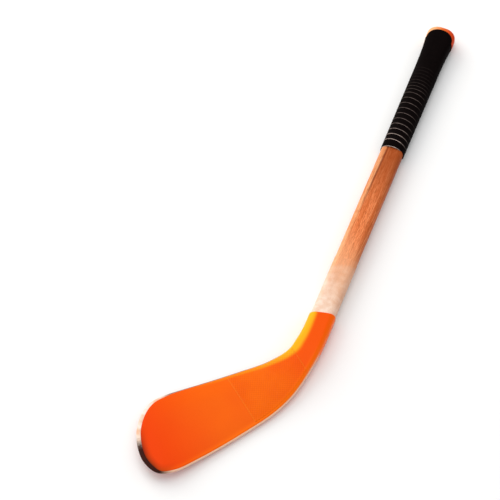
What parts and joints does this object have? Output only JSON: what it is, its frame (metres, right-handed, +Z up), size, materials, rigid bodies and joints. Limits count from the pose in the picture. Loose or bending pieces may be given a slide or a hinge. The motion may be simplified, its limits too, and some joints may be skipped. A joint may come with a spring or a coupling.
{
  "type": "ice hockey stick",
  "caption": "Short ice hockey stick with a laminated wood shaft, curved orange blade, wound grip tape and butt cap.",
  "frame": {"origin": "middle of the stick's overall box at its base: it lies on its back with the hollow of the blade up", "axes": "+Y along the shaft from the blade to the butt, +Z up out of the blade's front face, +X to the sole's side"},
  "size_m": [0.128, 0.5374, 0.019],
  "materials": {
    "shaft_wood": "straight grained, clear varnish, satin",
    "ply_wood": "lighter side ply, clear varnish, satin",
    "dowel_wood": "bare, unseen",
    "blade_wood": "bare, unseen",
    "blade_skin": "glossy orange coating",
    "heel_patch": "woven reinforcement cured stiff in the orange coating",
    "edge_strip": "pale lipping, scuffed at the toe",
    "neck_wrap": "pale half-clear wound film",
    "grip_foam": "soft foam padding, unseen",
    "grip_tape": "ridged wound tape with pale rubbed edges",
    "cap_rubber": "smooth moulded rubber, slight sheen"
  },
  "bodies": {
    "root": {"shaft_core": "shaft_wood", "shaft_ply_left": "ply_wood", "shaft_ply_right": "ply_wood", "joint_dowels": "dowel_wood", "blade_core": "blade_wood", "blade_face_front": "blade_skin", "blade_face_back": "blade_skin", "heel_patch_front": "heel_patch", "heel_patch_back": "heel_patch", "blade_edge_strip": "edge_strip", "neck_sleeve": "neck_wrap", "grip_underwrap": "grip_foam", "knob_former": "grip_foam", "grip_tape": "grip_tape", "butt_cap": "cap_rubber"}
  },
  "joints": []
}
